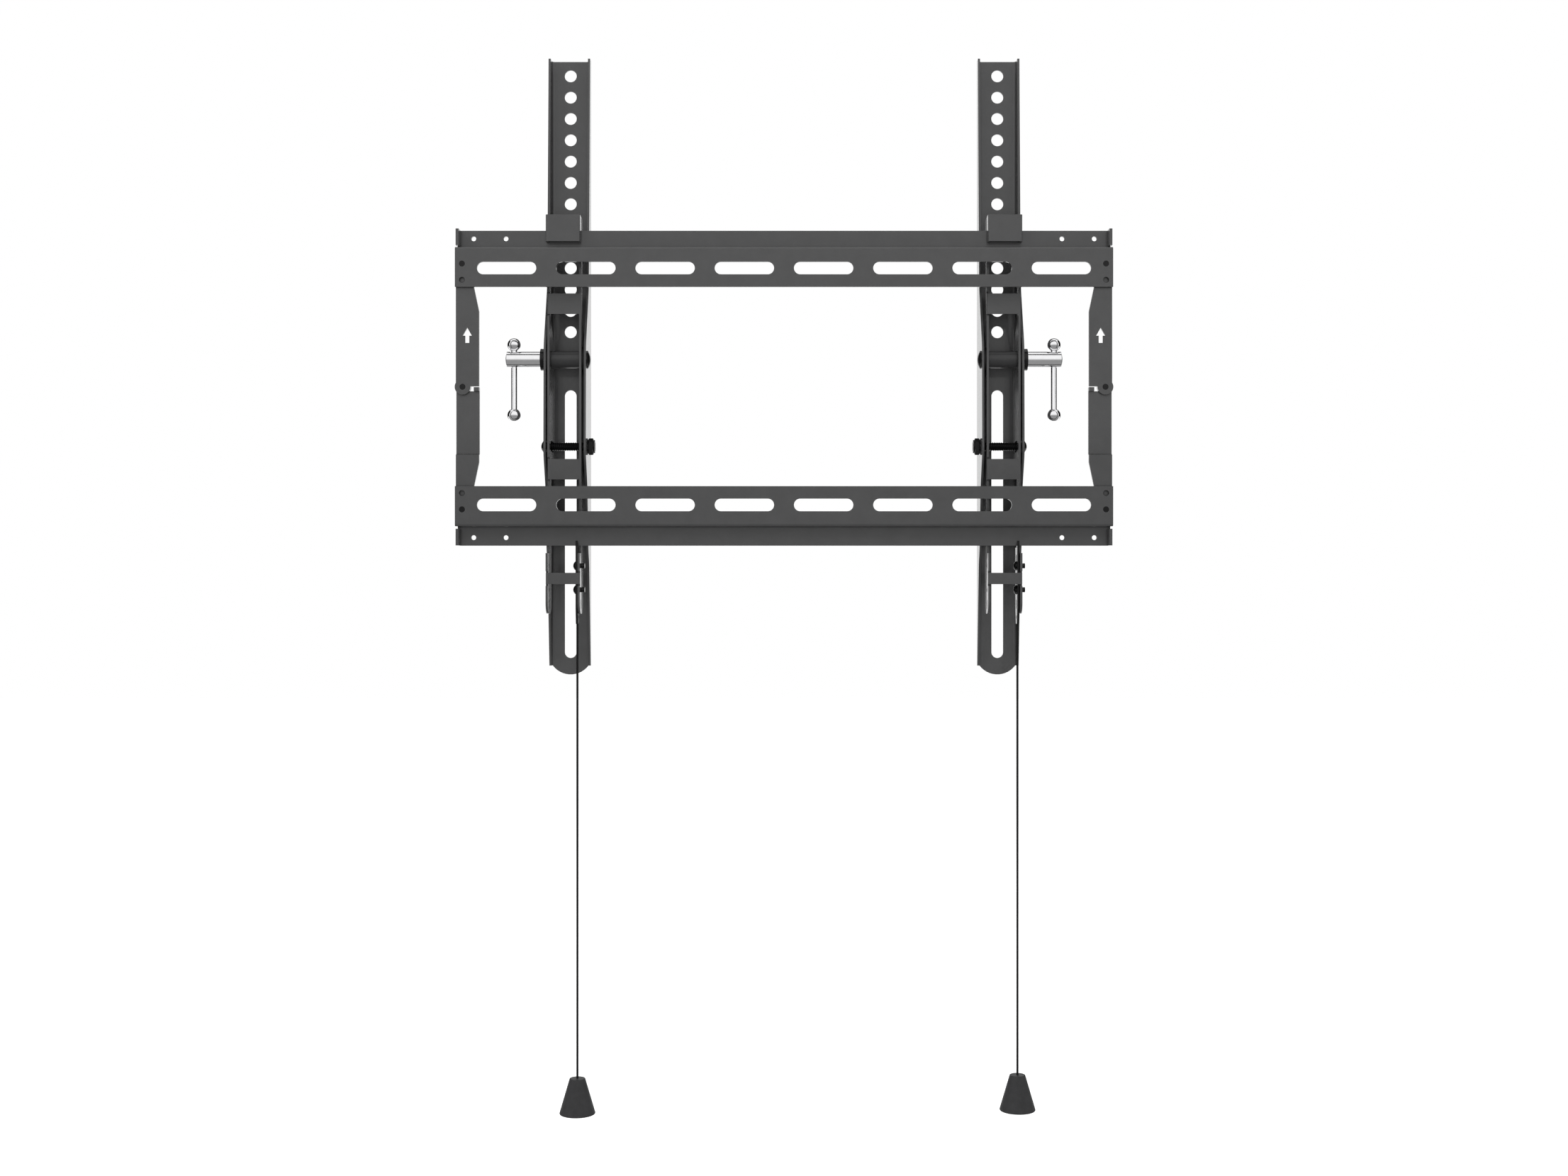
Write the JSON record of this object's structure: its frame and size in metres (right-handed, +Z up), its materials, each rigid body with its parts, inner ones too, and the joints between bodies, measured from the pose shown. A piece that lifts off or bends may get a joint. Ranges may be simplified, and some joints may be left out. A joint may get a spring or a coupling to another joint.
{
  "type": "tv wall mount",
  "caption": "Folding, tilting television wall mount: slotted rails on folding side struts, hook-on channel arms with clamp nuts, and spring latches worked by pull cords.",
  "frame": {"origin": "on the wall plane, midway between the rails and between their ends", "axes": "+X along the rails, +Y from the wall into the room, +Z up"},
  "size_m": [0.4456, 0.0545, 0.7283],
  "materials": {
    "coated_sheet": "satin powder coat",
    "black_hardware": "black zinc",
    "chrome": "bright",
    "friction_washer": "matte",
    "pull": "satin moulded",
    "cord": "braided"
  },
  "bodies": {
    "top_rail": {"top_rail": "coated_sheet", "left_top_rivet": "black_hardware", "right_top_rivet": "black_hardware"},
    "bottom_rail": {"bottom_rail": "coated_sheet", "left_bottom_rivet": "black_hardware", "right_bottom_rivet": "black_hardware"},
    "left_upper_strut": {"left_upper_strut": "coated_sheet", "left_mid_rivet": "black_hardware"},
    "left_lower_strut": {"left_lower_strut": "coated_sheet"},
    "left_bracket": {"left_hook_bracket": "coated_sheet", "left_pivot_sleeve": "black_hardware", "left_inner_friction_washer": "friction_washer", "left_outer_friction_washer": "friction_washer", "left_latch_pin_upper": "black_hardware", "left_latch_pin_lower": "black_hardware"},
    "left_arm": {"left_tv_arm": "coated_sheet", "left_outer_washer": "black_hardware", "left_pivot_bolt": "black_hardware", "left_stop_bolt": "black_hardware", "left_stop_nut": "black_hardware"},
    "left_clamp": {"left_clamp_nut": "chrome"},
    "left_tommy": {"left_tommy_bar": "chrome"},
    "left_latch": {"left_latch_plate": "black_hardware", "left_cord": "cord", "left_pull": "pull"},
    "right_upper_strut": {"right_upper_strut": "coated_sheet", "right_mid_rivet": "black_hardware"},
    "right_lower_strut": {"right_lower_strut": "coated_sheet"},
    "right_bracket": {"right_hook_bracket": "coated_sheet", "right_pivot_sleeve": "black_hardware", "right_inner_friction_washer": "friction_washer", "right_outer_friction_washer": "friction_washer", "right_latch_pin_upper": "black_hardware", "right_latch_pin_lower": "black_hardware"},
    "right_arm": {"right_tv_arm": "coated_sheet", "right_outer_washer": "black_hardware", "right_pivot_bolt": "black_hardware", "right_stop_bolt": "black_hardware", "right_stop_nut": "black_hardware"},
    "right_clamp": {"right_clamp_nut": "chrome"},
    "right_tommy": {"right_tommy_bar": "chrome"},
    "right_latch": {"right_latch_plate": "black_hardware", "right_cord": "cord", "right_pull": "pull"}
  },
  "joints": [
    {"name": "left_upper_fold", "type": "hinge", "parent": "top_rail", "child": "left_upper_strut", "pos_m": [-0.2175, 0.0033, 0.083], "axis": [0, -1, 0], "range_deg": [0, 75]},
    {"name": "left_lower_fold", "type": "hinge", "parent": "left_upper_strut", "child": "left_lower_strut", "pos_m": [-0.2175, 0.0033, 0], "axis": [0, -1, 0], "range_deg": [-150, 0]},
    {"name": "right_upper_fold", "type": "hinge", "parent": "top_rail", "child": "right_upper_strut", "pos_m": [0.2175, 0.0033, 0.083], "axis": [0, 1, 0], "range_deg": [0, 75]},
    {"name": "right_lower_fold", "type": "hinge", "parent": "right_upper_strut", "child": "right_lower_strut", "pos_m": [0.2175, 0.0033, 0], "axis": [0, 1, 0], "range_deg": [-150, 0]},
    {"name": "bottom_rail_fold", "type": "hinge", "parent": "left_lower_strut", "child": "bottom_rail", "pos_m": [-0.2175, 0.0033, -0.083], "axis": [0, -1, 0], "range_deg": [0, 75]},
    {"name": "left_bracket_slide", "type": "slide", "parent": "top_rail", "child": "left_bracket", "axis": [1, 0, 0], "range_m": [-0.05, 0.1]},
    {"name": "left_tilt", "type": "hinge", "parent": "left_bracket", "child": "left_arm", "pos_m": [-0.15, 0.026, 0.0211], "axis": [-1, 0, 0], "range_deg": [0, 8]},
    {"name": "left_clamp_turn", "type": "hinge", "parent": "left_arm", "child": "left_clamp", "pos_m": [-0.17, 0.026, 0.0211], "axis": [1, 0, 0], "range_deg": [-180, 180]},
    {"name": "left_tommy_slide", "type": "slide", "parent": "left_clamp", "child": "left_tommy", "axis": [0, 0, 1], "range_m": [0, 0.028]},
    {"name": "left_latch_slide", "type": "slide", "parent": "left_bracket", "child": "left_latch", "axis": [0, 0, -1], "range_m": [0, 0.006], "stiffness_N_per_m": 400, "springref_m": -0.012},
    {"name": "right_bracket_slide", "type": "slide", "parent": "top_rail", "child": "right_bracket", "axis": [1, 0, 0], "range_m": [-0.1, 0.05]},
    {"name": "right_tilt", "type": "hinge", "parent": "right_bracket", "child": "right_arm", "pos_m": [0.15, 0.026, 0.0211], "axis": [-1, 0, 0], "range_deg": [0, 8]},
    {"name": "right_clamp_turn", "type": "hinge", "parent": "right_arm", "child": "right_clamp", "pos_m": [0.17, 0.026, 0.0211], "axis": [1, 0, 0], "range_deg": [-180, 180]},
    {"name": "right_tommy_slide", "type": "slide", "parent": "right_clamp", "child": "right_tommy", "axis": [0, 0, 1], "range_m": [0, 0.028]},
    {"name": "right_latch_slide", "type": "slide", "parent": "right_bracket", "child": "right_latch", "axis": [0, 0, -1], "range_m": [0, 0.006], "stiffness_N_per_m": 400, "springref_m": -0.012}
  ],
  "couplings": [
    {"joint": "left_lower_fold", "follows": "left_upper_fold", "ratio": -2},
    {"joint": "bottom_rail_fold", "follows": "left_upper_fold", "ratio": 1},
    {"joint": "right_upper_fold", "follows": "left_upper_fold", "ratio": 1},
    {"joint": "right_lower_fold", "follows": "left_upper_fold", "ratio": -2}
  ]
}
